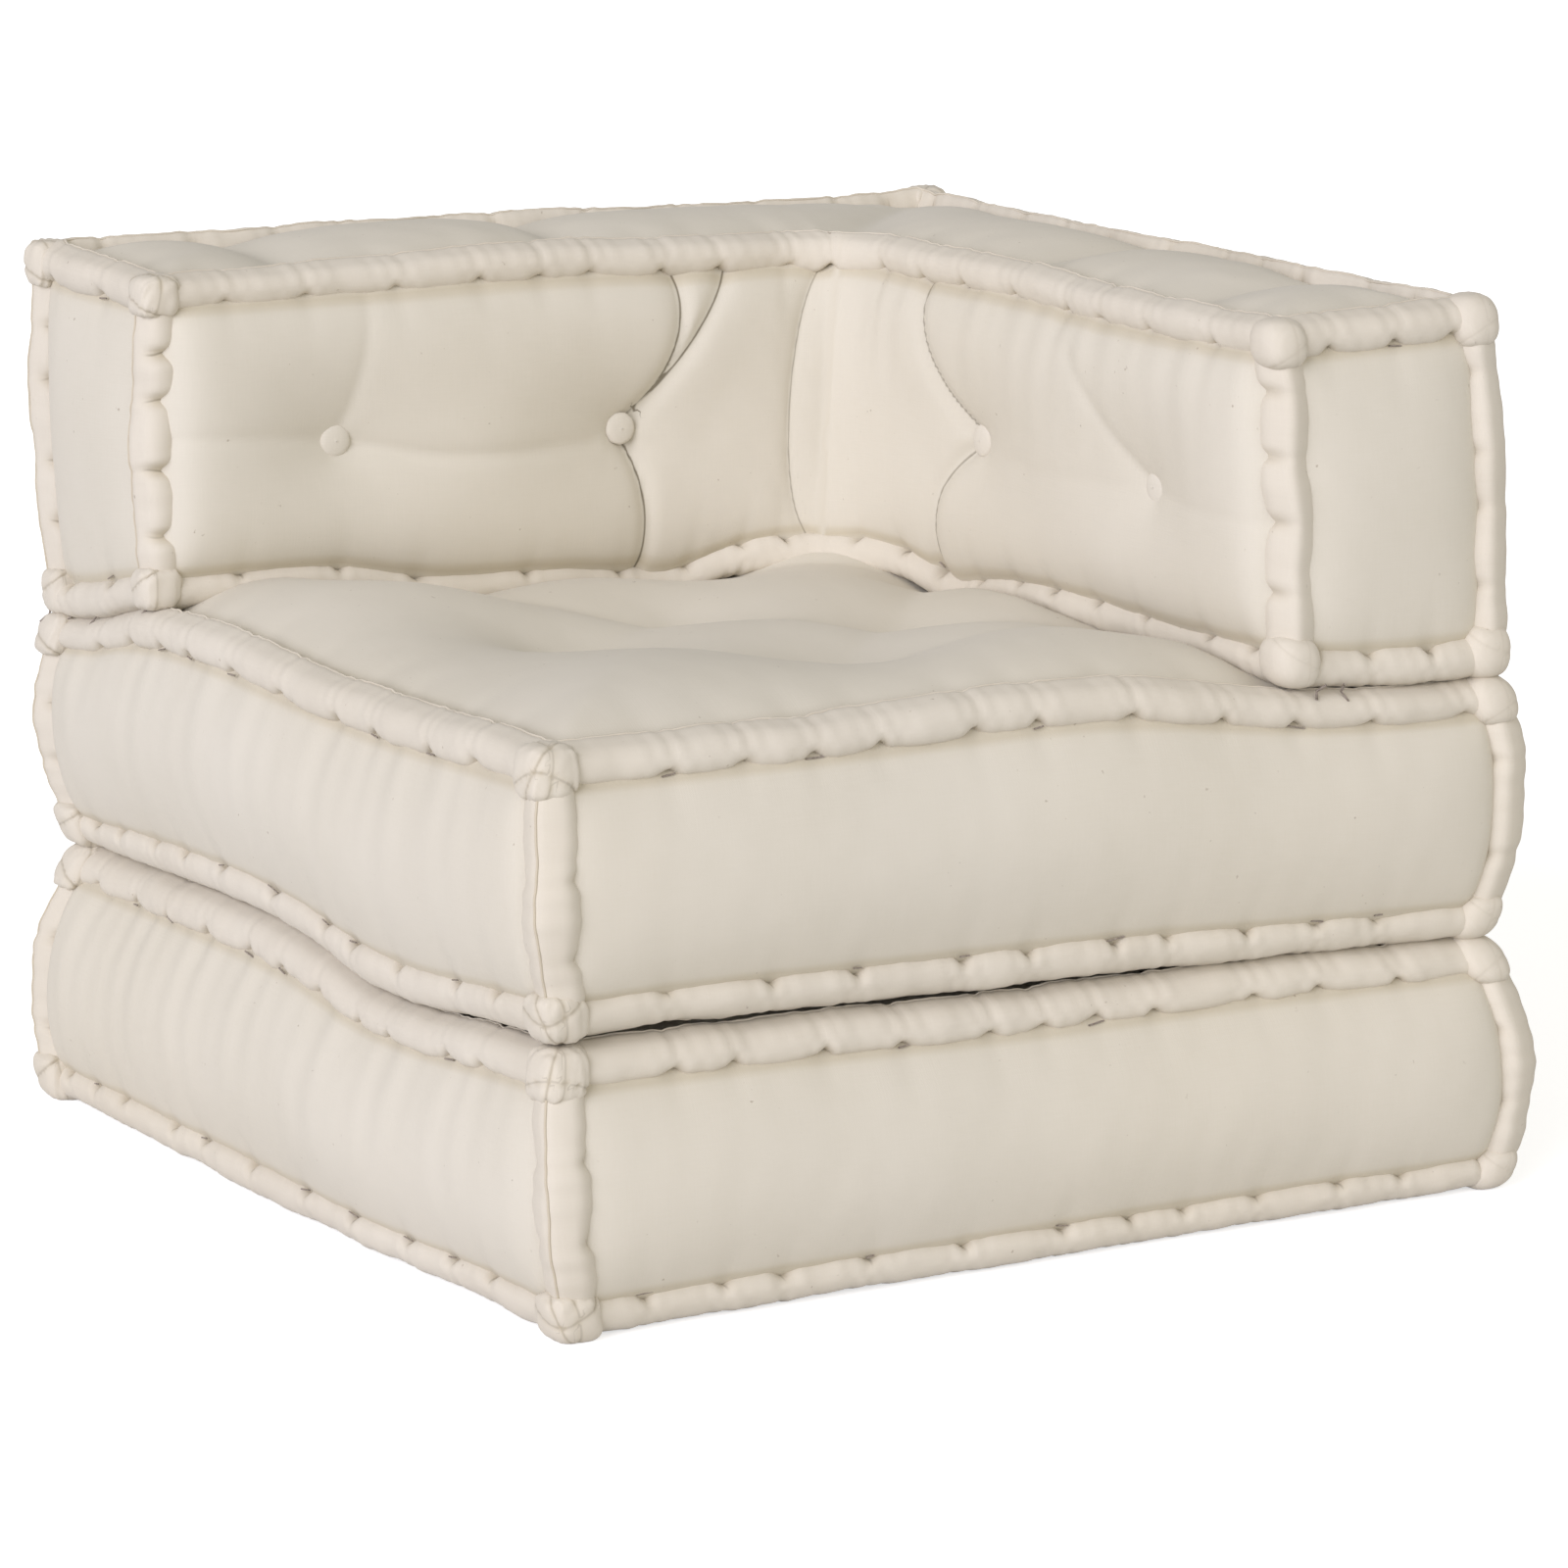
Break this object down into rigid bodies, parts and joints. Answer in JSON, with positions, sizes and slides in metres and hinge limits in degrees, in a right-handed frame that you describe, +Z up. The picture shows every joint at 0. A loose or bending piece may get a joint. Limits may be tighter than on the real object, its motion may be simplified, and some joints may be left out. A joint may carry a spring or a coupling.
{
  "type": "corner floor seat mattress set",
  "caption": "Square corner floor seat of stacked hand-tufted cotton mattresses: a base, a seat and an L-shaped button-tufted back cushion, all with stitched rolled edges.",
  "frame": {"origin": "middle of the underside, on the floor", "axes": "+Z up; the open front faces -Y and the open left side faces -X, and the back cushion stands along the rear (+Y) and the right side (+X)"},
  "size_m": [0.7, 0.7, 0.5804],
  "materials": {
    "cover_cloth": "matt plain-weave unbleached cotton",
    "roll_cloth": "matt plain-weave unbleached cotton, hand stitched into rolls",
    "button_cover": "matt cotton stretched over a former",
    "cotton_filling": "carded cotton batting",
    "tufting_twine": "waxed linen twine",
    "stitching_thread": "doubled linen thread",
    "felt_washer": "cotton felt"
  },
  "bodies": {
    "base_mattress": {"base_filling": "cotton_filling", "base_top_panel": "cover_cloth", "base_bottom_panel": "cover_cloth", "base_front_border": "cover_cloth", "base_rear_border": "cover_cloth", "base_left_border": "cover_cloth", "base_right_border": "cover_cloth", "base_top_roll": "roll_cloth", "base_bottom_roll": "roll_cloth", "base_front_left_roll": "roll_cloth", "base_front_right_roll": "roll_cloth", "base_rear_left_roll": "roll_cloth", "base_rear_right_roll": "roll_cloth", "base_tuft_ties": "tufting_twine"},
    "seat_and_back": {"seat_filling": "cotton_filling", "seat_top_panel": "cover_cloth", "seat_bottom_panel": "cover_cloth", "seat_front_border": "cover_cloth", "seat_rear_border": "cover_cloth", "seat_left_border": "cover_cloth", "seat_right_border": "cover_cloth", "seat_top_roll": "roll_cloth", "seat_bottom_roll": "roll_cloth", "seat_front_left_roll": "roll_cloth", "seat_front_right_roll": "roll_cloth", "seat_rear_left_roll": "roll_cloth", "seat_rear_right_roll": "roll_cloth", "seat_tuft_ties": "tufting_twine", "back_rear_filling": "cotton_filling", "back_side_filling": "cotton_filling", "back_top_panel": "cover_cloth", "back_bottom_panel": "cover_cloth", "back_rear_inner_border": "cover_cloth", "back_rear_outer_border": "cover_cloth", "back_left_end_border": "cover_cloth", "back_side_inner_border": "cover_cloth", "back_side_outer_border": "cover_cloth", "back_front_end_border": "cover_cloth", "back_top_roll": "roll_cloth", "back_bottom_roll": "roll_cloth", "back_rear_corner_roll": "roll_cloth", "back_left_outer_roll": "roll_cloth", "back_left_inner_roll": "roll_cloth", "back_front_outer_roll": "roll_cloth", "back_front_inner_roll": "roll_cloth", "rear_left_button": "button_cover", "rear_middle_button": "button_cover", "side_middle_button": "button_cover", "side_front_button": "button_cover", "rear_left_washer": "felt_washer", "rear_middle_washer": "felt_washer", "side_middle_washer": "felt_washer", "side_front_washer": "felt_washer", "back_tuft_ties": "tufting_twine", "joining_stitches": "stitching_thread"}
  },
  "joints": [
    {"name": "seat_lift", "type": "slide", "parent": "base_mattress", "child": "seat_and_back", "axis": [0, 0, 1], "range_m": [0, 0.25]}
  ]
}
